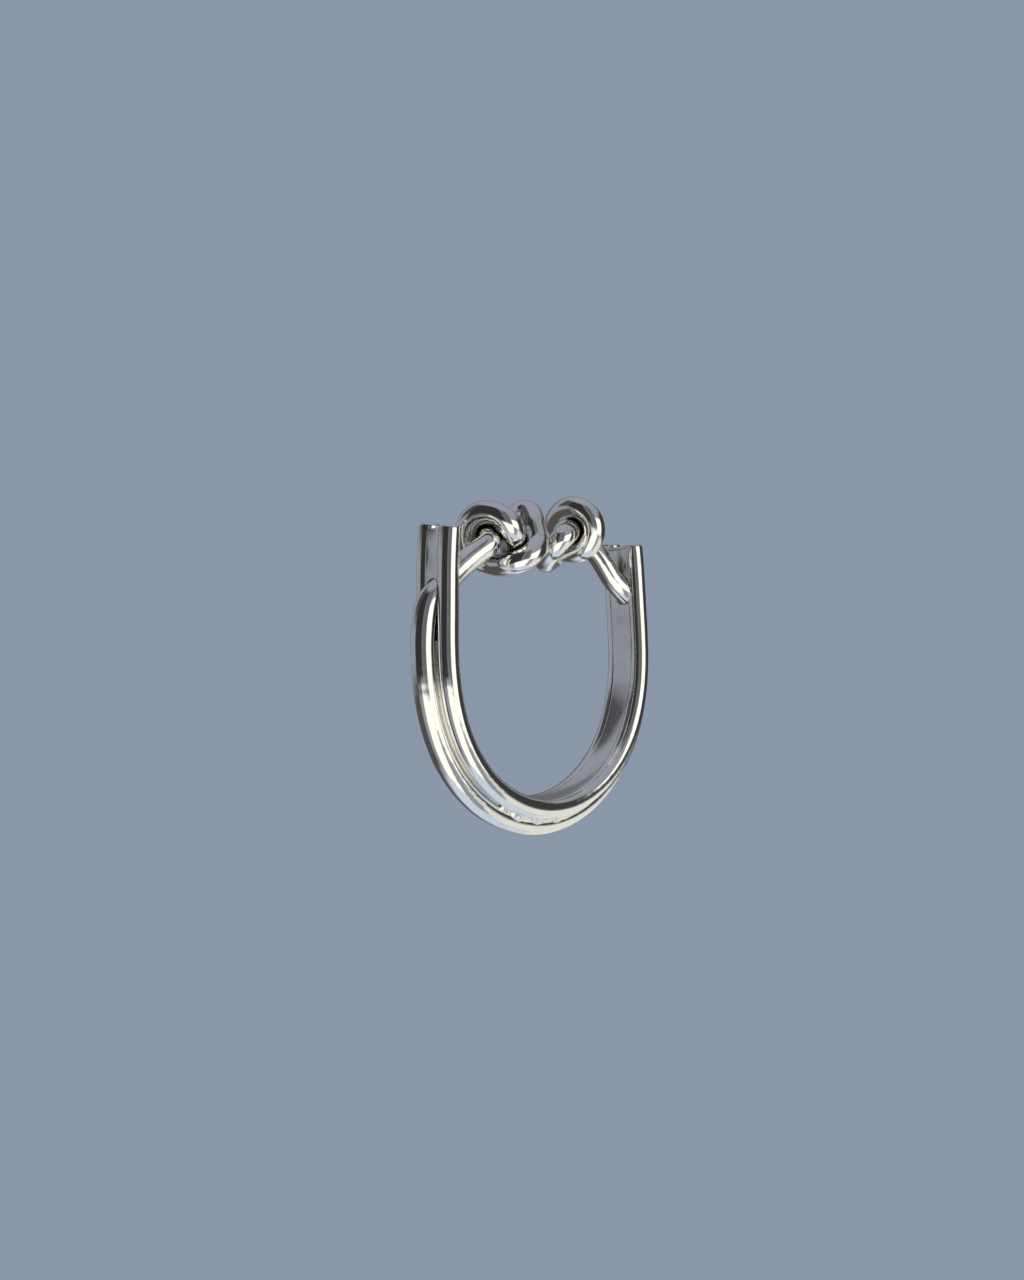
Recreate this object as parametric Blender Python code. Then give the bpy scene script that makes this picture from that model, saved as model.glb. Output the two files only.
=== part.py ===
"""Open-front finger ring of soldered round wire.

Two parallel U-shaped shank wires stand side by side along the finger axis.
A thicker wire runs round the outside of the U in the groove between them,
dives through a notch in both legs and ends, on each side, in an overhand
knot; the two knots meet across the open top.

Metres in the file, millimetres in the tables.  X = leg to leg,
Y = finger axis (front wire at -Y), Z = up, Z = 0 at the lowest point.
"""
import math

import bmesh
import bpy
import numpy as np
from mathutils import Vector

MM = 0.001

# ---- driving dimensions (mm) -------------------------------------------
SHANK_DIA = 1.40          # round wire of the two shank wires
KNOT_DIA = 1.60           # thicker round wire that carries the knots
PITCH_Y = 2.20            # centre distance of the two shank wires
GROOVE_OUT = 1.15         # how far the knotted wire rides outside them
HALF_LEN = 24.36          # half length of a shank wire's centreline
# bend of the U from the bottom up to the post tops, 1/radius at even steps
BEND = (1 / 8.6, 1 / 9.32, 1 / 9.27, 1 / 16.0, -1 / 113.0, 1 / 18.5)
BASE_Z = GROOVE_OUT + KNOT_DIA / 2     # lifts the lowest point to Z = 0
POST_TOP = {              # post-top heights over the shank centreline bottom
    ("front", -1): 19.20, ("front", 1): 18.80,
    ("rear", -1): 19.55, ("rear", 1): 19.05,
}
TOP_ROUND = 0.22          # rounding of the post-top rims
GAP = 0.025               # fit gap between neighbouring pieces
SIDES = 16
GROOVE_TOP = 11.8         # height where the knotted wire leaves the groove
RING_STEP = 0.30          # ring spacing along the knots
KNOT_CLEAR = KNOT_DIA + 0.02

# The knots are laid out by hand as seen from the ring's front left corner,
# EYE away from the finger axis: steps across, steps up (STEP apart at the
# axis) and, third, the distance toward that corner in lay units.
EYE = 69.64
EYE_TURN = math.radians(-42.71)
EYE_DIP = math.radians(-0.17)
EYE_ROLL = math.radians(-1.55)
EYE_SIDE = -2.056
EYE_UP = 11.725
STEP = 0.0707
LAY = 1.475
LEFT_KNOT = (
    (-52, 73, 3.6), (-35, 87, 3.2), (-19, 99, 2.8), (-5, 112, 1.75),
    (5, 125, 1.1), (14, 130, 1.1), (20, 123, 1.5), (21, 110, 1.9),
    (18, 98, 2.2), (8, 87, 2.25), (-5, 79, 2.0), (-18, 77, 1.7),
    (-30, 80, 1.6), (-41, 88, 1.8), (-45, 103, 2.1), (-42, 117, 2.4),
    (-31, 127, 2.8), (-18, 127, 3.05), (-8, 120, 3.05), (-3, 108, 2.6),
    (-3, 96, 1.8), (2, 88, 1.0), (11, 84, 0.7), (19, 84, 0.6),
)
RIGHT_KNOT = (
    (100, 61, -3.5), (89, 80, -3.35), (76, 95, -3.3), (62, 104, -3.3),
    (48, 109, -2.9), (44, 120, -1.9), (52, 127, -0.9), (64, 129, -0.3),
    (75, 125, 0.0), (81, 116, 0.1), (81, 105, 0.0), (74, 94, -0.2),
    (62, 89, -0.6), (50, 89, -1.3), (41, 83, -1.6), (34, 78, -1.0),
    (35, 84, -0.1), (41, 91, 0.4), (49, 101, 0.6), (56, 107, 0.2),
    (64, 114, -0.7), (71, 121, -1.7), (76, 124, -2.7),
)


# ---- curves --------------------------------------------------------------
def eye_frame():
    a, e, r = EYE_TURN, EYE_DIP, EYE_ROLL
    back = np.array([math.sin(a) * math.cos(e),
                     -math.cos(a) * math.cos(e), math.sin(e)])
    side = np.array([math.cos(a), math.sin(a), 0.0])
    up = np.cross(back, side)
    c, s = math.cos(r), math.sin(r)
    return c * side + s * up, -s * side + c * up, back


def laid(point):
    """Ring position (mm) of one hand-laid knot point."""
    gx, gz, toward = point
    across, up, back = eye_frame()
    eye = across * EYE_SIDE + np.array([0, 0, EYE_UP]) + back * EYE
    far = EYE - toward * LAY
    k = STEP * far / EYE
    return eye + across * gx * k + up * gz * k - back * far


def half_shank(n=400):
    """Right half of the shank centreline: arrays x, z, heading."""
    s = np.linspace(0.0, HALF_LEN, n)
    kap = np.interp(s / HALF_LEN, np.linspace(0, 1, len(BEND)), BEND)
    step = np.diff(s)
    psi = np.r_[0.0, np.cumsum((kap[1:] + kap[:-1]) / 2 * step)]
    x = np.r_[0.0, np.cumsum((np.cos(psi)[1:] + np.cos(psi)[:-1]) / 2 * step)]
    z = np.r_[0.0, np.cumsum((np.sin(psi)[1:] + np.sin(psi)[:-1]) / 2 * step)]
    return x, z, psi


def shank_line(y, out=0.0, low=None, high=None):
    """Whole U at finger-axis position y, pushed outward by out."""
    x, z, psi = half_shank()
    px, pz = x + out * np.sin(psi), z - out * np.cos(psi)
    right = np.stack([px, np.full_like(px, y), pz], 1)
    left = right * np.array([-1.0, 1.0, 1.0])
    if high is not None:
        right = right[right[:, 2] < high]
    if low is not None:
        left = left[left[:, 2] < low]
    return np.concatenate([left[::-1], right[1:]])


def smooth_curve(points, n):
    """Even points on a natural cubic spline through the given points."""
    p = np.asarray(points, float)
    t = np.r_[0.0, np.cumsum(np.sqrt(np.linalg.norm(np.diff(p, axis=0), axis=1)))]
    m = len(p)
    h = np.diff(t)
    a = np.zeros((m, m))
    b = np.zeros((m, 3))
    a[0, 0] = a[-1, -1] = 1.0
    for i in range(1, m - 1):
        a[i, i - 1], a[i, i], a[i, i + 1] = h[i - 1], 2 * (h[i - 1] + h[i]), h[i]
        b[i] = 6 * ((p[i + 1] - p[i]) / h[i] - (p[i] - p[i - 1]) / h[i - 1])
    c = np.linalg.solve(a, b)
    q = np.linspace(0, t[-1], 6000)
    i = np.clip(np.searchsorted(t, q, side="right") - 1, 0, m - 2)
    u = (q - t[i])[:, None]
    v = (t[i + 1] - q)[:, None]
    w = h[i][:, None]
    curve = (c[i] * v ** 3 / (6 * w) + c[i + 1] * u ** 3 / (6 * w)
             + (p[i] / w - c[i] * w / 6) * v + (p[i + 1] / w - c[i + 1] * w / 6) * u)
    return even(curve, n)


def even(curve, n):
    s = np.r_[0.0, np.cumsum(np.linalg.norm(np.diff(curve, axis=0), axis=1))]
    q = np.linspace(0, s[-1], n)
    return np.stack([np.interp(q, s, curve[:, k]) for k in range(3)], 1)


def length(curve):
    return float(np.linalg.norm(np.diff(curve, axis=0), axis=1).sum())


def blur(values, width):
    """Weighted moving mean along the wire, ends held."""
    k = int(3 * width) + 1
    w = np.exp(-0.5 * (np.arange(-k, k + 1) / width) ** 2)
    w /= w.sum()
    padded = np.concatenate([np.repeat(values[:1], k, 0), values,
                             np.repeat(values[-1:], k, 0)])
    return np.stack([np.convolve(padded[:, c], w, mode="valid")
                     for c in range(values.shape[1])], 1)


def settle(curve, held, clear, rounds=500, tight=1.18):
    """Ease crossings of the wire apart until they clear one another and no
    bend is tighter than the wire can take.  held marks points that stay."""
    p = curve.copy()
    n = len(p)
    back = eye_frame()[2]
    idx = np.arange(n)
    for _ in range(rounds):
        seg = np.linalg.norm(np.diff(p, axis=0), axis=1)
        arc = np.r_[0.0, np.cumsum(seg)]
        ds = arc[-1] / (n - 1)
        d = p[:, None] - p[None]
        gap = np.linalg.norm(d, axis=2) + 1e-9
        near = (np.abs(arc[:, None] - arc[None]) > clear * 1.75) & (gap < clear)
        lack = np.where(near, clear - gap, 0.0)
        k = lack.argmax(1)
        push = (lack[idx, k] / gap[idx, k])[:, None] * d[idx, k] * 0.5
        deep = (push @ back)[:, None] * back
        push = deep * 1.5 + (push - deep) * 0.35
        push[held] = 0
        push = blur(push, 0.5 / ds) * 1.5
        mid = np.zeros_like(p)
        w = max(1, int(round(0.45 / ds)))
        mid[w:-w] = (p[2 * w:] + p[:-2 * w]) / 2 - p[w:-w]
        bend = 2 * np.linalg.norm(mid, axis=1) / (w * ds) ** 2
        over = np.clip(bend * tight - 1.0, 0, 1)[:, None]
        push += blur(mid * over, 0.3 / ds) * 0.5
        push[held] = 0
        p = p + push
    return p


def knotted_line():
    """The thick wire from the left knot's end to the right knot's end."""
    low = shank_line(0.0, GROOVE_OUT, GROOVE_TOP, GROOVE_TOP)
    low[:, 2] += 0.0
    up_left = [(-9.98, 0.0, 14.25), (-8.92, -0.08, 15.36)]
    up_right = [(9.80, -0.12, 14.25), (8.72, -0.36, 15.18)]
    left = [low[8], low[0]] + up_left + [laid(q) for q in LEFT_KNOT]
    right = [low[-9], low[-1]] + up_right + [laid(q) for q in RIGHT_KNOT]
    a = smooth_curve(left, 340)
    b = smooth_curve(right, 320)
    ka = int(len(a) * 7.0 / length(a))
    kb = int(len(b) * 7.0 / length(b))
    both = np.concatenate([a[::-1], even(low[8:-8], 12)[1:-1], b])
    held = np.zeros(len(both), bool)
    held[len(a) - ka:len(a) + 10 + kb] = True
    both = settle_pair(both, held, len(a), len(a) + 10)
    left_done, right_done = both[:len(a)], both[len(a) + 10:]
    middle = even(low[8:-8], 74)[1:-1]
    na = int(length(left_done) / RING_STEP)
    nb = int(length(right_done) / RING_STEP)
    return np.concatenate([even(left_done, na), middle, even(right_done, nb)])


def settle_pair(both, held, i, j):
    return settle(both, held, KNOT_CLEAR)


# ---- sweeps --------------------------------------------------------------
def moving_frames(line, start_normal):
    """Tangent, normal and side vectors carried along a line without twist."""
    t = np.gradient(line, axis=0)
    t /= np.linalg.norm(t, axis=1)[:, None]
    n = np.zeros_like(t)
    v = np.asarray(start_normal, float)
    for i in range(len(line)):
        v = v - (v @ t[i]) * t[i]
        v /= np.linalg.norm(v)
        n[i] = v
    return t, n, np.cross(t, n)


def circle(center, t_vec, n_vec, b_vec, radius, sides):
    out = []
    for k in range(sides):
        a = 2 * math.pi * (k + 0.5) / sides
        out.append(center + radius * (math.cos(a) * n_vec + math.sin(a) * b_vec))
    return out


def skin(name, rings, caps=True):
    """One closed object from a list of equal closed rings (mm)."""
    bm = bmesh.new()
    loops = [[bm.verts.new(Vector([float(c) * MM for c in p])) for p in ring]
             for ring in rings]
    m = len(loops[0])
    for a, b in zip(loops, loops[1:]):
        for k in range(m):
            bm.faces.new((a[k], a[(k + 1) % m], b[(k + 1) % m], b[k]))
    bm.faces.new(list(reversed(loops[0])))
    bm.faces.new(loops[-1])
    bmesh.ops.recalc_face_normals(bm, faces=bm.faces)
    if bm.calc_volume(signed=True) < 0:
        bmesh.ops.reverse_faces(bm, faces=bm.faces)
    mesh = bpy.data.meshes.new(name)
    bm.to_mesh(mesh)
    bm.free()
    obj = bpy.data.objects.new(name, mesh)
    bpy.context.scene.collection.objects.link(obj)
    return obj


def round_shade(obj):
    """Smooth shading on the round walls, flat on the cut ends."""
    for f in obj.data.polygons:
        f.use_smooth = len(f.vertices) <= 4


def ball_end(center, t_vec, n_vec, b_vec, radius, outward, steps=4):
    """Rings of a rounded wire end, from the full section to the tip flat."""
    rings = []
    for i in range(1, steps + 1):
        a = math.radians(82) * i / steps
        c = center + outward * t_vec * radius * math.sin(a)
        rings.append(circle(c, t_vec, n_vec, b_vec, radius * math.cos(a), SIDES))
    return rings


def wire(name, line, radius):
    t, n, b = moving_frames(line, (0.0, 1.0, 0.0))
    body = [circle(line[i], t[i], n[i], b[i], radius, SIDES)
            for i in range(len(line))]
    first = ball_end(line[0], t[0], n[0], b[0], radius, -1)
    last = ball_end(line[-1], t[-1], n[-1], b[-1], radius, 1)
    return skin(name, first[::-1] + body + last)


def level_cut(center, t_vec, n_vec, b_vec, radius, height):
    """Wire section slid along the wire onto the level plane at height."""
    ring = []
    for p in circle(center, t_vec, n_vec, b_vec, radius, SIDES):
        ring.append(p + t_vec * (height - p[2]) / t_vec[2])
    return ring


def shank_wire(name, place, y, rings=92):
    """U-shaped wire with level, lightly rounded post tops."""
    line = shank_line(y)
    line[:, 2] += BASE_Z
    tops = [POST_TOP[(place, side)] + BASE_Z for side in (-1, 1)]
    keep = np.ones(len(line), bool)
    for i, p in enumerate(line):
        top = tops[0] if p[0] < 0 else tops[1]
        if p[2] > top - 1.0:
            keep[i] = False
    line = even(line[keep], rings)
    t, n, b = moving_frames(line, (0.0, 1.0, 0.0))
    r = SHANK_DIA / 2
    body = [circle(line[i], t[i], n[i], b[i], r, SIDES) for i in range(rings)]
    ends = []
    for i, top, sign in ((0, tops[0], -1), (-1, tops[1], 1)):
        cut = []
        for step in range(0, 5):
            a = math.radians(90) * step / 4
            rr = r - TOP_ROUND * (1 - math.cos(a))
            cut.append(level_cut(line[i], t[i], n[i], b[i], rr,
                                 top - TOP_ROUND * (1 - math.sin(a))))
        ends.append(cut)
    return skin(name, ends[0][::-1] + body + ends[1])


def groove_path(low, high, n):
    """Even stations of the shank curve between two signed arc lengths."""
    x, z, psi = half_shank(800)
    s = np.linspace(0.0, HALF_LEN, 800)
    out = []
    for q in np.linspace(low, high, n):
        a = abs(q)
        px, pz, ph = (np.interp(a, s, v) for v in (x, z, psi))
        sign = 1.0 if q >= 0 else -1.0
        outward = np.array([sign * math.sin(ph), 0.0, -math.cos(ph)])
        out.append((np.array([sign * px, 0.0, pz + BASE_Z]), outward))
    return out


def arc_points(cy, co, radius, a0, a1, n):
    return [(cy + radius * math.cos(math.radians(a)),
             co + radius * math.sin(math.radians(a)))
            for a in np.linspace(a0, a1, n)]


def between(p, q, n, sag):
    """Points strictly between p and q, bowed by sag (y, o)."""
    out = []
    for k in range(1, n + 1):
        u = k / (n + 1)
        w = 4 * u * (1 - u)
        out.append((p[0] + (q[0] - p[0]) * u + sag[0] * w,
                    p[1] + (q[1] - p[1]) * u + sag[1] * w))
    return out


def side_section(open_, side):
    """Fillet between the thick wire and one shank wire; side -1 is front.
    open_ runs from 0 (thin tail) to 1 (full fillet)."""
    lean = math.degrees(math.atan2(GROOVE_OUT, PITCH_Y / 2))
    neck, spread = 19.0, 16.0 + 44.0 * open_
    rb, ra = SHANK_DIA / 2 + GAP, KNOT_DIA / 2 + GAP
    shank = arc_points(-PITCH_Y / 2, 0, rb, lean + neck, lean + neck + spread, 4)
    knot = arc_points(0, GROOVE_OUT, ra, lean + 180 - neck - spread,
                      lean + 180 - neck, 4)
    dip = (0.12 * open_ * 0.72, -0.12 * open_ * 0.69)
    ring = shank + between(shank[-1], knot[0], 1, dip) + knot
    return [(-side * y, o) for y, o in ring]


def seam_section(open_, up_side, dish):
    """Fill between the two shank wires; up_side limits its outer edge and
    dish hollows its finger side."""
    r = SHANK_DIA / 2 + GAP
    up = 3.0 + up_side * open_
    down = 4.0 + 44.0 * open_
    front = arc_points(-PITCH_Y / 2, 0, r, up, -down, 6)
    rear = arc_points(PITCH_Y / 2, 0, r, 180 + down, 180 - up, 6)
    return front + between(front[-1], rear[0], 3, (0, dish * open_)) + rear


def fillet(name, low, high, n, section, tail):
    """Solder run along the shank from arc length low to high (mm)."""
    path = groove_path(low, high, n)
    rings = []
    for i, (center, outward) in enumerate(path):
        s = low + (high - low) * i / (n - 1)
        near = min(s - low, high - s)
        open_ = math.sqrt(max(0.0, min(1.0, near / tail)))
        rings.append([center + outward * o + np.array([0.0, y, 0.0])
                      for y, o in section(open_)])
    return skin(name, rings)


def cut(obj, cutter):
    mod = obj.modifiers.new("notch", "BOOLEAN")
    mod.operation = "DIFFERENCE"
    mod.solver = "EXACT"
    mod.object = cutter


# ---- materials -----------------------------------------------------------
def metal(name, color, rough):
    mat = bpy.data.materials.new(name)
    mat.use_nodes = True
    node = mat.node_tree.nodes["Principled BSDF"]
    node.inputs["Base Color"].default_value = (*color, 1.0)
    node.inputs["Metallic"].default_value = 1.0
    node.inputs["Roughness"].default_value = rough
    return mat


def build():
    for old in list(bpy.data.objects):
        bpy.data.objects.remove(old, do_unlink=True)

    thick = knotted_line()
    thick[:, 2] += BASE_Z
    knotted = wire("knotted_wire", thick, KNOT_DIA / 2)

    # channel that the thick wire runs through in both legs
    channels = []
    for sign in (-1, 1):
        near = (thick[:, 0] * sign > 6.5) & (thick[:, 2] > 12.0) & (thick[:, 2] < 21.0)
        line = even(thick[near], 34)
        t, n, b = moving_frames(line, (0.0, 1.0, 0.0))
        rings = [circle(line[i], t[i], n[i], b[i], KNOT_DIA / 2 + 1.6 * GAP, 20)
                 for i in range(len(line))]
        tool = skin("channel_cutter_left" if sign < 0 else "channel_cutter_right",
                    rings)
        tool.hide_render = True
        tool.display_type = "WIRE"
        channels.append(tool)

    front = shank_wire("front_shank_wire", "front", -PITCH_Y / 2)
    rear = shank_wire("rear_shank_wire", "rear", PITCH_Y / 2)
    seam = fillet("inner_seam_solder", -20.0, 20.0, 110,
                  lambda q: seam_section(q, 17.0, 0.16), 0.8)
    groove_front = fillet("front_groove_solder", -3.4, 9.5, 28,
                          lambda q: side_section(q, -1), 2.6)
    groove_rear = fillet("rear_groove_solder", -8.0, 8.0, 32,
                         lambda q: side_section(q, 1), 2.6)
    entry_left = fillet("left_entry_solder", -22.9, -20.1, 20,
                        lambda q: seam_section(q, 40.0, 0.14), 1.4)
    entry_right = fillet("right_entry_solder", 20.1, 22.9, 20,
                         lambda q: seam_section(q, 40.0, 0.14), 1.4)
    for obj in (front, rear, seam):
        cut(obj, channels[0])
        cut(obj, channels[1])
    cut(entry_left, channels[0])
    cut(entry_right, channels[1])

    looks = (
        (front, "polished_front_wire", (0.86, 0.86, 0.85), 0.10),
        (rear, "polished_rear_wire", (0.85, 0.85, 0.84), 0.11),
        (knotted, "polished_knot_wire", (0.87, 0.87, 0.86), 0.09),
        (seam, "solder_seam", (0.82, 0.82, 0.80), 0.22),
        (groove_front, "solder_front", (0.81, 0.81, 0.80), 0.24),
        (groove_rear, "solder_rear", (0.81, 0.81, 0.79), 0.24),
        (entry_left, "solder_left", (0.80, 0.80, 0.78), 0.26),
        (entry_right, "solder_right", (0.80, 0.80, 0.78), 0.26),
    )
    for obj, name, color, rough in looks:
        round_shade(obj)
        obj.data.materials.append(metal(name, color, rough))


build()
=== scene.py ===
"""Open-front finger ring of soldered, polished silver wire: the looks.

Visible wires and solder are rebuilt finely on the same centrelines and sizes
as the CAD nodes that they replace; everything rides on the one body.
"""
import math

import bpy
import numpy as np
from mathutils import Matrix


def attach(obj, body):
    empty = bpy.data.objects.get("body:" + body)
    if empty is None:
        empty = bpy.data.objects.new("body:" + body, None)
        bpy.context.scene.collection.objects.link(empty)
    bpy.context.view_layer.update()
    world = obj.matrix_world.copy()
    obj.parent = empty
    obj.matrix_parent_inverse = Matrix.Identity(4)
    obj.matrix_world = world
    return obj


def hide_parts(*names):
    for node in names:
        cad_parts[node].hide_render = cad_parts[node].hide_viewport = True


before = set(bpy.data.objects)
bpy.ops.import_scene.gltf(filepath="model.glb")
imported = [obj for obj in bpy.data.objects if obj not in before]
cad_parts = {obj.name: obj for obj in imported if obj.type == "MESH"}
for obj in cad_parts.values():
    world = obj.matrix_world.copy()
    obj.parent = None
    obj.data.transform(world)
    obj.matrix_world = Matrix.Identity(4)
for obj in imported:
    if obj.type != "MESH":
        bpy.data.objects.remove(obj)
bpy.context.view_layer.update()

# ---- driving dimensions (mm) -------------------------------------------
SHANK_DIA = 1.40          # round wire of the two shank wires
KNOT_DIA = 1.60           # thicker round wire that carries the knots
PITCH_Y = 2.20            # centre distance of the two shank wires
GROOVE_OUT = 1.15         # how far the knotted wire rides outside them
HALF_LEN = 24.36          # half length of a shank wire's centreline
# bend of the U from the bottom up to the post tops, 1/radius at even steps
BEND = (1 / 8.6, 1 / 9.32, 1 / 9.27, 1 / 16.0, -1 / 113.0, 1 / 18.5)
BASE_Z = GROOVE_OUT + KNOT_DIA / 2     # lifts the lowest point to Z = 0
POST_TOP = {              # post-top heights over the shank centreline bottom
    ("front", -1): 19.20, ("front", 1): 18.80,
    ("rear", -1): 19.55, ("rear", 1): 19.05,
}
TOP_ROUND = 0.22          # rounding of the post-top rims
GAP = 0.025               # fit gap between neighbouring pieces
SIDES = 16
GROOVE_TOP = 11.8         # height where the knotted wire leaves the groove
RING_STEP = 0.30          # ring spacing along the knots
KNOT_CLEAR = KNOT_DIA + 0.02

# The knots are laid out as seen from the ring's front left corner,
# EYE away from the finger axis: steps across, steps up (STEP apart at the
# axis) and, third, the distance toward that corner in lay units.
EYE = 69.64
EYE_TURN = math.radians(-42.71)
EYE_DIP = math.radians(-0.17)
EYE_ROLL = math.radians(-1.55)
EYE_SIDE = -2.056
EYE_UP = 11.725
STEP = 0.0707
LAY = 1.475
LEFT_KNOT = (
    (-52, 73, 3.6), (-35, 87, 3.2), (-19, 99, 2.8), (-5, 112, 1.75),
    (5, 125, 1.1), (14, 130, 1.1), (20, 123, 1.5), (21, 110, 1.9),
    (18, 98, 2.2), (8, 87, 2.25), (-5, 79, 2.0), (-18, 77, 1.7),
    (-30, 80, 1.6), (-41, 88, 1.8), (-45, 103, 2.1), (-42, 117, 2.4),
    (-31, 127, 2.8), (-18, 127, 3.05), (-8, 120, 3.05), (-3, 108, 2.6),
    (-3, 96, 1.8), (2, 88, 1.0), (11, 84, 0.7), (19, 84, 0.6),
)
RIGHT_KNOT = (
    (100, 61, -3.5), (89, 80, -3.35), (76, 95, -3.3), (62, 104, -3.3),
    (48, 109, -2.9), (44, 120, -1.9), (52, 127, -0.9), (64, 129, -0.3),
    (75, 125, 0.0), (81, 116, 0.1), (81, 105, 0.0), (74, 94, -0.2),
    (62, 89, -0.6), (50, 89, -1.3), (41, 83, -1.6), (34, 78, -1.0),
    (35, 84, -0.1), (41, 91, 0.4), (49, 101, 0.6), (56, 107, 0.2),
    (64, 114, -0.7), (71, 121, -1.7), (76, 124, -2.7),
)


# ---- curves --------------------------------------------------------------
def eye_frame():
    a, e, r = EYE_TURN, EYE_DIP, EYE_ROLL
    back = np.array([math.sin(a) * math.cos(e),
                     -math.cos(a) * math.cos(e), math.sin(e)])
    side = np.array([math.cos(a), math.sin(a), 0.0])
    up = np.cross(back, side)
    c, s = math.cos(r), math.sin(r)
    return c * side + s * up, -s * side + c * up, back


def laid(point):
    """Ring position (mm) of one listed knot point."""
    gx, gz, toward = point
    across, up, back = eye_frame()
    eye = across * EYE_SIDE + np.array([0, 0, EYE_UP]) + back * EYE
    far = EYE - toward * LAY
    k = STEP * far / EYE
    return eye + across * gx * k + up * gz * k - back * far


def half_shank(n=400):
    """Right half of the shank centreline: arrays x, z, heading."""
    s = np.linspace(0.0, HALF_LEN, n)
    kap = np.interp(s / HALF_LEN, np.linspace(0, 1, len(BEND)), BEND)
    step = np.diff(s)
    psi = np.r_[0.0, np.cumsum((kap[1:] + kap[:-1]) / 2 * step)]
    x = np.r_[0.0, np.cumsum((np.cos(psi)[1:] + np.cos(psi)[:-1]) / 2 * step)]
    z = np.r_[0.0, np.cumsum((np.sin(psi)[1:] + np.sin(psi)[:-1]) / 2 * step)]
    return x, z, psi


def shank_line(y, out=0.0, low=None, high=None):
    """Whole U at finger-axis position y, pushed outward by out."""
    x, z, psi = half_shank()
    px, pz = x + out * np.sin(psi), z - out * np.cos(psi)
    right = np.stack([px, np.full_like(px, y), pz], 1)
    left = right * np.array([-1.0, 1.0, 1.0])
    if high is not None:
        right = right[right[:, 2] < high]
    if low is not None:
        left = left[left[:, 2] < low]
    return np.concatenate([left[::-1], right[1:]])


def smooth_curve(points, n):
    """Even points on a natural cubic spline through the given points."""
    p = np.asarray(points, float)
    t = np.r_[0.0, np.cumsum(np.sqrt(np.linalg.norm(np.diff(p, axis=0), axis=1)))]
    m = len(p)
    h = np.diff(t)
    a = np.zeros((m, m))
    b = np.zeros((m, 3))
    a[0, 0] = a[-1, -1] = 1.0
    for i in range(1, m - 1):
        a[i, i - 1], a[i, i], a[i, i + 1] = h[i - 1], 2 * (h[i - 1] + h[i]), h[i]
        b[i] = 6 * ((p[i + 1] - p[i]) / h[i] - (p[i] - p[i - 1]) / h[i - 1])
    c = np.linalg.solve(a, b)
    q = np.linspace(0, t[-1], 6000)
    i = np.clip(np.searchsorted(t, q, side="right") - 1, 0, m - 2)
    u = (q - t[i])[:, None]
    v = (t[i + 1] - q)[:, None]
    w = h[i][:, None]
    curve = (c[i] * v ** 3 / (6 * w) + c[i + 1] * u ** 3 / (6 * w)
             + (p[i] / w - c[i] * w / 6) * v + (p[i + 1] / w - c[i + 1] * w / 6) * u)
    return even(curve, n)


def even(curve, n):
    s = np.r_[0.0, np.cumsum(np.linalg.norm(np.diff(curve, axis=0), axis=1))]
    q = np.linspace(0, s[-1], n)
    return np.stack([np.interp(q, s, curve[:, k]) for k in range(3)], 1)


def length(curve):
    return float(np.linalg.norm(np.diff(curve, axis=0), axis=1).sum())


def blur(values, width):
    """Weighted moving mean along the wire, ends held."""
    k = int(3 * width) + 1
    w = np.exp(-0.5 * (np.arange(-k, k + 1) / width) ** 2)
    w /= w.sum()
    padded = np.concatenate([np.repeat(values[:1], k, 0), values,
                             np.repeat(values[-1:], k, 0)])
    return np.stack([np.convolve(padded[:, c], w, mode="valid")
                     for c in range(values.shape[1])], 1)


def settle(curve, held, clear, rounds=500, tight=1.18):
    """Ease crossings of the wire apart until they clear one another and no
    bend is tighter than the wire can take.  held marks points that stay."""
    p = curve.copy()
    n = len(p)
    back = eye_frame()[2]
    idx = np.arange(n)
    for _ in range(rounds):
        seg = np.linalg.norm(np.diff(p, axis=0), axis=1)
        arc = np.r_[0.0, np.cumsum(seg)]
        ds = arc[-1] / (n - 1)
        sq = (p * p).sum(1)
        gap = np.sqrt(np.clip(sq[:, None] + sq[None] - 2 * p @ p.T, 0, None)) + 1e-9
        near = (np.abs(arc[:, None] - arc[None]) > clear * 1.75) & (gap < clear)
        lack = np.where(near, clear - gap, 0.0)
        k = lack.argmax(1)
        push = (lack[idx, k] / gap[idx, k])[:, None] * (p - p[k]) * 0.5
        deep = (push @ back)[:, None] * back
        push = deep * 1.5 + (push - deep) * 0.35
        push[held] = 0
        push = blur(push, 0.5 / ds) * 1.5
        mid = np.zeros_like(p)
        w = max(1, int(round(0.45 / ds)))
        mid[w:-w] = (p[2 * w:] + p[:-2 * w]) / 2 - p[w:-w]
        bend = 2 * np.linalg.norm(mid, axis=1) / (w * ds) ** 2
        over = np.clip(bend * tight - 1.0, 0, 1)[:, None]
        push += blur(mid * over, 0.3 / ds) * 0.5
        push[held] = 0
        p = p + push
    return p


def knotted_line():
    """The thick wire from the left knot's end to the right knot's end."""
    low = shank_line(0.0, GROOVE_OUT, GROOVE_TOP, GROOVE_TOP)
    low[:, 2] += 0.0
    up_left = [(-9.98, 0.0, 14.25), (-8.92, -0.08, 15.36)]
    up_right = [(9.80, -0.12, 14.25), (8.72, -0.36, 15.18)]
    left = [low[8], low[0]] + up_left + [laid(q) for q in LEFT_KNOT]
    right = [low[-9], low[-1]] + up_right + [laid(q) for q in RIGHT_KNOT]
    a = smooth_curve(left, 340)
    b = smooth_curve(right, 320)
    ka = int(len(a) * 7.0 / length(a))
    kb = int(len(b) * 7.0 / length(b))
    both = np.concatenate([a[::-1], even(low[8:-8], 12)[1:-1], b])
    held = np.zeros(len(both), bool)
    held[len(a) - ka:len(a) + 10 + kb] = True
    both = settle_pair(both, held, len(a), len(a) + 10)
    left_done, right_done = both[:len(a)], both[len(a) + 10:]
    middle = even(low[8:-8], 200)[1:-1]
    return np.concatenate([left_done, middle, right_done])


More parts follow.
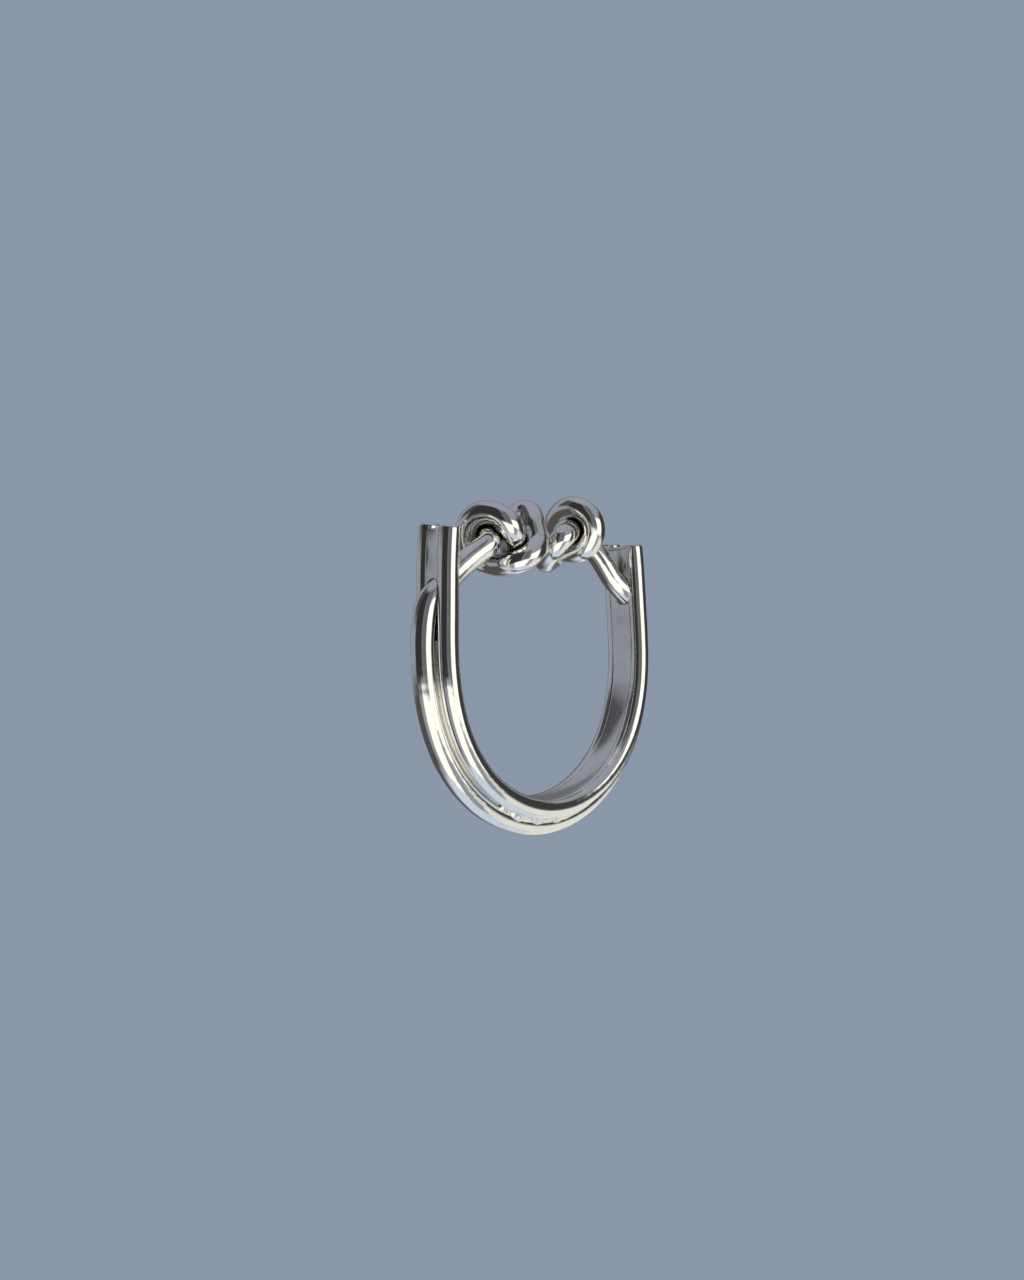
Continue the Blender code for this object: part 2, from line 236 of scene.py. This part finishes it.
def settle_pair(both, held, i, j):
    return settle(both, held, KNOT_CLEAR)


# ---- fine sweeps -----------------------------------------------------------
M = 0.001


def frames(line, start):
    t = np.gradient(line, axis=0)
    t /= np.linalg.norm(t, axis=1)[:, None]
    n = np.zeros_like(t)
    v = np.asarray(start, float)
    for i in range(len(line)):
        v = v - (v @ t[i]) * t[i]
        v /= np.linalg.norm(v)
        n[i] = v
    return t, n, np.cross(t, n)


def mesh_from_rings(name, rings):
    """One closed smooth object from (rings, sides, 3) points in mm."""
    rings = np.asarray(rings, float)
    k, m = rings.shape[:2]
    verts = (rings.reshape(-1, 3) * M).tolist()
    faces = []
    for i in range(k - 1):
        a, b = i * m, (i + 1) * m
        for j in range(m):
            j2 = (j + 1) % m
            faces.append((a + j, a + j2, b + j2, b + j))
    faces.append(tuple(range(m - 1, -1, -1)))
    faces.append(tuple((k - 1) * m + j for j in range(m)))
    mesh = bpy.data.meshes.new(name)
    mesh.from_pydata(verts, [], faces)
    mesh.validate()
    mesh.update()
    import bmesh
    bm = bmesh.new()
    bm.from_mesh(mesh)
    if bm.calc_volume(signed=True) < 0:
        bmesh.ops.reverse_faces(bm, faces=bm.faces)
    bm.to_mesh(mesh)
    bm.free()
    for f in mesh.polygons:
        f.use_smooth = len(f.vertices) == 4
    obj = bpy.data.objects.new(name, mesh)
    bpy.context.scene.collection.objects.link(obj)
    return obj


def wobble(s, seed, size):
    """Slow hand-made unevenness along a wire, s in mm."""
    out = 0
    for q, (f, a) in enumerate(((0.21, 1.0), (0.47, 0.7), (0.93, 0.45), (1.7, 0.3))):
        out = out + a * np.sin(2 * math.pi * f * s + seed * (q + 1.7) * 2.3)
    return size * out / 2.0


def tube_rings(line, t, n, b, radius, sides):
    a = 2 * math.pi * np.arange(sides) / sides
    off = (np.cos(a)[None, :, None] * n[:, None] + np.sin(a)[None, :, None] * b[:, None])
    return line[:, None] + off * np.asarray(radius)[:, None, None]


def round_end(line, t, n, b, radius, i, outward, sides, steps=10):
    out = []
    a = 2 * math.pi * np.arange(sides) / sides
    off = np.cos(a)[:, None] * n[i] + np.sin(a)[:, None] * b[i]
    for q in range(1, steps + 1):
        w = math.radians(87) * q / steps
        out.append(line[i] + outward * t[i] * radius * math.sin(w)
                   + off * radius * math.cos(w))
    return out


def thick_wire():
    line = knotted_line()
    line[:, 2] += BASE_Z
    line = even(line, int(length(line) / 0.12))
    line = blur(line, 3.0)
    line = even(line, int(length(line) / 0.12))
    t, n, b = frames(line, (0.0, 1.0, 0.0))
    s = np.r_[0.0, np.cumsum(np.linalg.norm(np.diff(line, axis=0), axis=1))]
    r = KNOT_DIA / 2 * (1 + wobble(s, 1.0, 0.010))
    rings = tube_rings(line, t, n, b, r, 44)
    first = round_end(line, t, n, b, r[0], 0, -1, 44)
    last = round_end(line, t, n, b, r[-1], -1, 1, 44)
    return line, mesh_from_rings("silver_knotted_wire",
                                 list(first[::-1]) + list(rings) + list(last))


def shank(name, place, y, seed):
    line = shank_line(y)
    line[:, 2] += BASE_Z
    tops = [POST_TOP[(place, side)] + BASE_Z for side in (-1, 1)]
    top = np.where(line[:, 0] < 0, tops[0], tops[1])
    line = even(line[line[:, 2] < top - 0.9], 420)
    t, n, b = frames(line, (0.0, 1.0, 0.0))
    s = np.r_[0.0, np.cumsum(np.linalg.norm(np.diff(line, axis=0), axis=1))]
    r = SHANK_DIA / 2 * (1 + wobble(s, seed, 0.008))
    sides = 44
    rings = list(tube_rings(line, t, n, b, r, sides))
    a = 2 * math.pi * np.arange(sides) / sides
    ends = []
    for i, high in ((0, tops[0]), (-1, tops[1])):
        off = np.cos(a)[:, None] * n[i] + np.sin(a)[:, None] * b[i]
        cut = []
        for q in range(0, 9):
            w = math.radians(90) * q / 8
            rr = r[i] - 0.26 * (1 - math.cos(w))
            p = line[i] + off * rr
            h = high - 0.26 * (1 - math.sin(w))
            cut.append(p + t[i] * ((h - p[:, 2]) / t[i][2])[:, None])
        # flat cut face, filled in rings toward the centre
        for q in range(1, 5):
            rr = (r[i] - 0.26) * (1 - q / 5.0)
            p = line[i] + off * rr
            cut.append(p + t[i] * ((high - 0.0 - p[:, 2]) / t[i][2])[:, None])
        ends.append(cut)
    return mesh_from_rings(name, ends[0][::-1] + rings + ends[1])


def path(low, high, n):
    x, z, psi = half_shank(1200)
    s = np.linspace(0.0, HALF_LEN, 1200)
    out = []
    for q in np.linspace(low, high, n):
        a = abs(q)
        px, pz, ph = (np.interp(a, s, v) for v in (x, z, psi))
        g = 1.0 if q >= 0 else -1.0
        out.append((q, np.array([g * px, 0.0, pz + BASE_Z]),
                    np.array([g * math.sin(ph), 0.0, -math.cos(ph)])))
    return out


def strip(name, low, high, n, section, tail):
    rings = []
    for q, c, o in path(low, high, n):
        open_ = math.sqrt(max(0.0, min(1.0, min(q - low, high - q) / tail)))
        rings.append([c + o * v[1] + np.array([0.0, v[0], 0.0])
                      for v in section(open_, q)])
    return mesh_from_rings(name, rings)


def bowl(p, q, n, sag):
    """Points from p to q, bowed by sag in between, ends left out."""
    out = []
    for k in range(1, n + 1):
        u = k / (n + 1)
        w = (4 * u * (1 - u)) ** 1.0
        out.append((p[0] + (q[0] - p[0]) * u + sag[0] * w,
                    p[1] + (q[1] - p[1]) * u + sag[1] * w))
    return out


def on_circle(cy, co, r, deg):
    return (cy + r * math.cos(math.radians(deg)), co + r * math.sin(math.radians(deg)))


def inner_section(open_, q):
    """Filled seam between the shank wires on the finger side, run into both."""
    r = SHANK_DIA / 2 - 0.012
    full = max(0.0, min(1.0, (q - 12.0) / 4.0))
    down = 6 + (68 + 9 * full) * open_
    face = bowl(on_circle(-PITCH_Y / 2, 0, r, -down),
                on_circle(PITCH_Y / 2, 0, r, 180 + down), 11,
                (0, (0.075 - 0.065 * full) * open_ + 0.012 * math.sin(1.9 * q)))
    return ([on_circle(-PITCH_Y / 2, 0, r, -down)] + face
            + [on_circle(PITCH_Y / 2, 0, r, 180 + down), (0.62, 0.25), (-0.62, 0.25)])


def outer_section(open_, q):
    """Fill between the posts on their outer side, above the notch."""
    r = SHANK_DIA / 2 - 0.012
    up = 6 + 46 * open_
    face = bowl(on_circle(PITCH_Y / 2, 0, r, 180 - up),
                on_circle(-PITCH_Y / 2, 0, r, up), 11,
                (0, -0.12 * open_ + 0.02 * math.sin(2.3 * q)))
    return ([on_circle(PITCH_Y / 2, 0, r, 180 - up)] + face
            + [on_circle(-PITCH_Y / 2, 0, r, up), (-0.62, -0.3), (0.62, -0.3)])


def groove_section(side, least=10, most=34):
    lean = math.degrees(math.atan2(GROOVE_OUT, PITCH_Y / 2))

    def section(open_, q):
        rb, ra = SHANK_DIA / 2 - 0.012, KNOT_DIA / 2 - 0.012
        spread = least + most * open_
        p1 = on_circle(-PITCH_Y / 2, 0, rb, lean + spread)
        p2 = on_circle(0, GROOVE_OUT, ra, lean + 180 - spread)
        face = bowl(p1, p2, 9, (0.07 * open_, -0.07 * open_))
        mid = (-PITCH_Y / 4, GROOVE_OUT / 2)
        ring = [p1] + face + [p2, (mid[0] + 0.16, mid[1] + 0.10), (mid[0] + 0.02, mid[1] - 0.14)]
        return [(-side * y, o) for y, o in ring]
    return section


def bead_section(open_, q):
    """Uneven bead left standing along the front groove."""
    lean = math.degrees(math.atan2(GROOVE_OUT, PITCH_Y / 2))
    rb, ra = SHANK_DIA / 2 - 0.012, KNOT_DIA / 2 - 0.012
    spread = 12 + 35 * open_ * (0.8 + 0.2 * math.sin(3.7 * q + 0.6))
    p1 = on_circle(-PITCH_Y / 2, 0, rb, lean + spread)
    p2 = on_circle(0, GROOVE_OUT, ra, lean + 180 - spread)
    proud = open_ * (0.004 + 0.035 * math.sin(5.3 * q) + 0.022 * math.sin(11.9 * q + 1.0))
    face = bowl(p1, p2, 9, (-proud, proud))
    mid = (-PITCH_Y / 4, GROOVE_OUT / 2)
    ring = [p1] + face + [p2, (mid[0] + 0.16, mid[1] + 0.10), (mid[0] + 0.02, mid[1] - 0.14)]
    return list(ring)


# ---- materials -------------------------------------------------------------
def silver(name, tone, rough_low, rough_high, wave, pits, painted_crevice_shade=0.55, speck=0.0):
    mat = bpy.data.materials.new(name)
    mat.use_nodes = True
    tree = mat.node_tree
    nodes, links = tree.nodes, tree.links
    bsdf = nodes["Principled BSDF"]
    bsdf.inputs["Metallic"].default_value = 1.0
    coord = nodes.new("ShaderNodeTexCoord")

    def noise(scale, detail, rough=0.5):
        n = nodes.new("ShaderNodeTexNoise")
        n.inputs["Scale"].default_value = scale
        n.inputs["Detail"].default_value = detail
        n.inputs["Roughness"].default_value = rough
        links.new(coord.outputs["Object"], n.inputs["Vector"])
        return n

    cloud = noise(700, 3)
    ramp = nodes.new("ShaderNodeValToRGB")
    ramp.color_ramp.elements[0].position = 0.3
    ramp.color_ramp.elements[0].color = (tone[0] * 0.93, tone[1] * 0.92, tone[2] * 0.90, 1)
    ramp.color_ramp.elements[1].position = 0.7
    ramp.color_ramp.elements[1].color = (*tone, 1)
    links.new(cloud.outputs["Fac"], ramp.inputs["Fac"])
    # painted shade: ambient occlusion pulls the base colour towards dark brown in crevices,
    # between touching wires and inside the knots, where shade falls; painted_crevice_shade sets
    # how far
    ao = nodes.new("ShaderNodeAmbientOcclusion")
    ao.samples = 8
    ao.inputs["Distance"].default_value = 0.0011
    aor = nodes.new("ShaderNodeMapRange")
    aor.inputs["From Min"].default_value = 0.05
    aor.inputs["From Max"].default_value = 0.55
    aor.inputs["To Min"].default_value = painted_crevice_shade
    aor.inputs["To Max"].default_value = 0.0
    links.new(ao.outputs["AO"], aor.inputs["Value"])
    mix = nodes.new("ShaderNodeMix")
    mix.data_type = "RGBA"
    links.new(aor.outputs["Result"], mix.inputs[0])
    links.new(ramp.outputs["Color"], mix.inputs[6])
    mix.inputs[7].default_value = (0.20, 0.165, 0.13, 1)
    links.new(mix.outputs[2], bsdf.inputs["Base Color"])

    fine = noise(2600, 4, 0.6)
    rr = nodes.new("ShaderNodeMapRange")
    rr.inputs["From Min"].default_value = 0.3
    rr.inputs["From Max"].default_value = 0.7
    rr.inputs["To Min"].default_value = rough_low
    rr.inputs["To Max"].default_value = rough_high
    links.new(fine.outputs["Fac"], rr.inputs["Value"])
    links.new(rr.outputs["Result"], bsdf.inputs["Roughness"])

    slow = noise(420, 2)
    bump = nodes.new("ShaderNodeBump")
    bump.inputs["Strength"].default_value = 1.0
    bump.inputs["Distance"].default_value = wave
    links.new(slow.outputs["Fac"], bump.inputs["Height"])
    vor = nodes.new("ShaderNodeTexVoronoi")
    vor.inputs["Scale"].default_value = 3800
    links.new(coord.outputs["Object"], vor.inputs["Vector"])
    pit = nodes.new("ShaderNodeMapRange")
    pit.inputs["From Min"].default_value = 0.0
    pit.inputs["From Max"].default_value = 0.22
    links.new(vor.outputs["Distance"], pit.inputs["Value"])
    bump2 = nodes.new("ShaderNodeBump")
    bump2.inputs["Strength"].default_value = 1.0
    bump2.inputs["Distance"].default_value = pits
    links.new(pit.outputs["Result"], bump2.inputs["Height"])
    links.new(bump.outputs["Normal"], bump2.inputs["Normal"])
    grit = noise(9000, 2)
    bump3 = nodes.new("ShaderNodeBump")
    bump3.inputs["Strength"].default_value = 1.0
    bump3.inputs["Distance"].default_value = pits * 0.5 + speck
    links.new(grit.outputs["Fac"], bump3.inputs["Height"])
    links.new(bump2.outputs["Normal"], bump3.inputs["Normal"])
    links.new(bump3.outputs["Normal"], bsdf.inputs["Normal"])
    return mat


TONE = (0.93, 0.925, 0.90)
# seventh argument: strength of the painted crevice shade (0.55 when left out)
wire_mat = silver("silver_polished_shank", TONE, 0.05, 0.12, 2.2e-6, 3.0e-7)
knot_mat = silver("silver_polished_knots", TONE, 0.05, 0.11, 2.6e-6, 4.0e-7, 0.75)
solder_mat = silver("silver_solder_fill", (0.90, 0.895, 0.87), 0.10, 0.24, 5.0e-6, 9.0e-7, 0.4)
rough_mat = silver("silver_solder_rough", (0.88, 0.87, 0.84), 0.14, 0.34, 1.6e-5, 4.0e-6, 0.5)

# ---- the ring --------------------------------------------------------------
thick, knot_obj = thick_wire()
front_obj = shank("silver_front_shank", "front", -PITCH_Y / 2, 2.0)
rear_obj = shank("silver_rear_shank", "rear", PITCH_Y / 2, 5.0)
seam_obj = strip("solder_inner_seam", -24.3, 23.97, 300, inner_section, 0.12)
post_l = strip("solder_between_left_posts", -24.3, -20.0, 60, outer_section, 0.12)
post_r = strip("solder_between_right_posts", 20.0, 23.97, 60, outer_section, 0.12)
gf = strip("solder_front_groove", -3.9, 10.6, 120, groove_section(-1), 1.4)
gf_low = strip("solder_front_groove_deep", -17.0, 17.0, 200, groove_section(-1, 8, 8), 1.0)
gr_low = strip("solder_rear_groove_deep", -17.0, 17.0, 200, groove_section(1, 8, 8), 1.0)
gr = strip("solder_rear_groove", -8.3, 8.3, 120, groove_section(1), 2.6)

bead = strip("solder_front_bead", -4.9, 1.9, 150, bead_section, 0.7)

for obj, mat, cad, slot in (
        (bead, rough_mat, "front_groove_solder", "silver_solder"),
        (knot_obj, knot_mat, "knotted_wire", "silver_wire"),
        (front_obj, wire_mat, "front_shank_wire", "silver_wire"),
        (rear_obj, wire_mat, "rear_shank_wire", "silver_wire"),
        (seam_obj, solder_mat, "inner_seam_solder", "silver_solder"),
        (post_l, solder_mat, "left_entry_solder", "silver_solder"),
        (post_r, solder_mat, "right_entry_solder", "silver_solder"),
        (gf, solder_mat, "front_groove_solder", "silver_solder"),
        (gf_low, solder_mat, "front_groove_solder", "silver_solder"),
        (gr_low, solder_mat, "rear_groove_solder", "silver_solder"),
        (gr, solder_mat, "rear_groove_solder", "silver_solder")):
    obj.data.materials.append(mat)
    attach(obj, "root")
    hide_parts(cad)

# notches that the thick wire runs through in both legs
for sign in (-1, 1):
    near = (thick[:, 0] * sign > 5.6) & (thick[:, 2] > 13.0) & (thick[:, 2] < 22.0)
    line = even(thick[near], 90)
    t_, n_, b_ = frames(line, (0.0, 1.0, 0.0))
    tool = mesh_from_rings("notch_left" if sign < 0 else "notch_right",
                           tube_rings(line, t_, n_, b_, np.full(len(line), 0.825), 48))
    for f in tool.data.polygons:
        f.use_smooth = False
    tool.data.materials.append(rough_mat)
    bpy.context.view_layer.update()
    for obj in (front_obj, rear_obj, seam_obj, post_l if sign < 0 else post_r):
        mod = obj.modifiers.new("notch", "BOOLEAN")
        mod.operation = "DIFFERENCE"
        mod.solver = "EXACT"
        mod.object = tool
        with bpy.context.temp_override(object=obj, active_object=obj,
                                       selected_objects=[obj]):
            bpy.ops.object.modifier_apply(modifier="notch")
    bpy.data.objects.remove(tool, do_unlink=True)

# ---- camera ----------------------------------------------------------------
across, up, back = eye_frame()
place = across * EYE_SIDE + np.array([0, 0, EYE_UP + BASE_Z]) + back * EYE
data = bpy.data.cameras.new("camera")
cam = bpy.data.objects.new("camera", data)
bpy.context.scene.collection.objects.link(cam)
from mathutils import Matrix
rows = np.eye(4)
rows[:3, 0], rows[:3, 1], rows[:3, 2], rows[:3, 3] = across, up, back, place * M
cam.matrix_world = Matrix(rows.tolist())
data.sensor_fit = "HORIZONTAL"
data.sensor_width = 36.0
data.lens = 36.0 * 985.0 / 1024.0
data.clip_start = 0.001
data.clip_end = 20.0
bpy.context.scene.camera = cam

# ---- studio ----------------------------------------------------------------
BACKDROP = (0.254, 0.311, 0.392)
scene = bpy.context.scene
scene.view_settings.view_transform = "Standard"
scene.view_settings.look = "None"
world = bpy.data.worlds.new("studio")
world.use_nodes = True
bg = world.node_tree.nodes["Background"]
bg.inputs["Color"].default_value = (*BACKDROP, 1)
bg.inputs["Strength"].default_value = 1.0
scene.world = world

flat_right = np.array([across[0], across[1], 0.0])
flat_right /= np.linalg.norm(flat_right)
flat_back = np.array([back[0], back[1], 0.0])
flat_back /= np.linalg.norm(flat_back)
CENTER = np.array([0.0, 0.0, 0.013])


def toward(azimuth, height):
    """Direction from the ring, azimuth to the camera's right, in degrees."""
    a, e = math.radians(azimuth), math.radians(height)
    return (math.cos(e) * (math.cos(a) * flat_back + math.sin(a) * flat_right)
            + np.array([0, 0, math.sin(e)]))


def aim(obj, where, at):
    z = where - at
    z = z / np.linalg.norm(z)
    x = np.cross(np.array([0, 0, 1.0]), z)
    if np.linalg.norm(x) < 1e-3:
        x = flat_right
    x = x / np.linalg.norm(x)
    y = np.cross(z, x)
    rows = np.eye(4)
    rows[:3, 0], rows[:3, 1], rows[:3, 2], rows[:3, 3] = x, y, z, where
    obj.matrix_world = Matrix(rows.tolist())


def softbox(name, azimuth, height, far, wide, tall, glow, color):
    light = bpy.data.lights.new(name, "AREA")
    light.shape = "RECTANGLE"
    light.size, light.size_y = wide, tall
    light.color = color
    light.energy = glow * math.pi * wide * tall
    obj = bpy.data.objects.new(name, light)
    scene.collection.objects.link(obj)
    aim(obj, CENTER + toward(azimuth, height) * far, CENTER)
    obj.visible_camera = False
    return obj


def card(name, az0, az1, el0, el1, far, color, steps=24):
    """Curved studio card, seen only by reflection."""
    verts, faces = [], []
    for i in range(steps + 1):
        for j in range(9):
            a = az0 + (az1 - az0) * i / steps
            e = el0 + (el1 - el0) * j / 8
            verts.append((CENTER + toward(a, e) * far).tolist())
    for i in range(steps):
        for j in range(8):
            a = i * 9 + j
            faces.append((a, a + 1, a + 10, a + 9))
    mesh = bpy.data.meshes.new(name)
    mesh.from_pydata(verts, [], faces)
    mat = bpy.data.materials.new(name)
    mat.use_nodes = True
    tree = mat.node_tree
    tree.nodes.clear()
    out = tree.nodes.new("ShaderNodeOutputMaterial")
    em = tree.nodes.new("ShaderNodeEmission")
    em.inputs["Color"].default_value = (*color, 1)
    tree.links.new(em.outputs["Emission"], out.inputs["Surface"])
    mesh.materials.append(mat)
    obj = bpy.data.objects.new(name, mesh)
    scene.collection.objects.link(obj)
    obj.visible_camera = False
    obj.visible_shadow = False
    obj.visible_diffuse = False
    return obj


# Soft patches of the surroundings: azimuth and height limits, colour, edge.
BASE = (0.30, 0.32, 0.37)
PATCHES = (
    (-180, 180, 58, 120, (0.33, 0.34, 0.42), 14),
    (-180, 180, -120, -60, (0.60, 0.70, 0.82), 10),
    (150, 212, -16, 34, (0.15, 0.155, 0.17), 12),
    (80, 150, -16, 34, (0.045, 0.045, 0.045), 12),
    (-4, 30, -8, 54, (0.14, 0.14, 0.15), 8),
    (-165, -64, -50, -8, (0.085, 0.08, 0.075), 12),
    (-112, -50, 16, 60, (0.075, 0.073, 0.08), 14),
    (-70, -7, -12, 58, (0.034, 0.032, 0.034), 10),
    (62, 175, -60, -22, (0.80, 0.80, 0.74), 8),
    (-30, 34, -60, -11, (1.15, 1.15, 1.04), 6),
    (34, 62, -58, -22, (0.30, 0.31, 0.34), 7),
    (33, 78, -17, 20, (1.25, 1.22, 1.10), 6),
)


def soft_step(x, edge):
    x = np.clip(x / edge + 0.5, 0, 1)
    return x * x * (3 - 2 * x)


def surroundings(az, el):
    col = np.array(BASE)
    for a0, a1, e0, e1, c, edge in PATCHES:
        if a1 - a0 >= 360:
            w = 1.0
        else:
            mid, half = (a0 + a1) / 2, (a1 - a0) / 2
            d = abs((az - mid + 180) % 360 - 180)
            w = soft_step(half - d, edge / max(0.2, math.cos(math.radians(el))))
        w = w * soft_step(el - e0, edge) * soft_step(e1 - el, edge)
        col = col * (1 - w) + np.array(c) * w
    return col


def dome(far=0.42, na=144, ne=72):
    """Round studio tent, seen only by reflection."""
    verts, faces, cols = [], [], []
    for i in range(ne + 1):
        el = -89.5 + 179.0 * i / ne
        for j in range(na):
            az = -180 + 360.0 * j / na
            verts.append((CENTER + toward(az, el) * far).tolist())
            cols.append(surroundings(az, el))
    for i in range(ne):
        for j in range(na):
            j2 = (j + 1) % na
            faces.append((i * na + j, i * na + j2, (i + 1) * na + j2, (i + 1) * na + j))
    mesh = bpy.data.meshes.new("studio_tent")
    mesh.from_pydata(verts, [], faces)
    attr = mesh.color_attributes.new("glow", "FLOAT_COLOR", "POINT")
    attr.data.foreach_set("color", np.hstack([np.array(cols), np.ones((len(cols), 1))]).ravel())
    for f in mesh.polygons:
        f.use_smooth = True
    mat = bpy.data.materials.new("studio_tent")
    mat.use_nodes = True
    tree = mat.node_tree
    tree.nodes.clear()
    out = tree.nodes.new("ShaderNodeOutputMaterial")
    em = tree.nodes.new("ShaderNodeEmission")
    at = tree.nodes.new("ShaderNodeAttribute")
    at.attribute_name = "glow"
    tree.links.new(at.outputs["Color"], em.inputs["Color"])
    tree.links.new(em.outputs["Emission"], out.inputs["Surface"])
    mesh.materials.append(mat)
    obj = bpy.data.objects.new("studio_tent", mesh)
    scene.collection.objects.link(obj)
    obj.visible_camera = False
    obj.visible_shadow = False


dome()
softbox("key", 50, 10, 0.40, 0.14, 0.10, 0.3, (1.0, 0.98, 0.94))

floor_mesh = bpy.data.meshes.new("floor")
e = 3.0
floor_mesh.from_pydata([(-e, -e, -0.5), (e, -e, -0.5), (e, e, -0.5), (-e, e, -0.5)], [],
                       [(0, 1, 2, 3)])
fm = bpy.data.materials.new("pale_floor")
fm.use_nodes = True
ft = fm.node_tree
ft.nodes.clear()
fo = ft.nodes.new("ShaderNodeOutputMaterial")
fe = ft.nodes.new("ShaderNodeEmission")
fe.inputs["Color"].default_value = (*BACKDROP, 1)
ft.links.new(fe.outputs["Emission"], fo.inputs["Surface"])
floor_mesh.materials.append(fm)
floor = bpy.data.objects.new("floor", floor_mesh)
scene.collection.objects.link(floor)
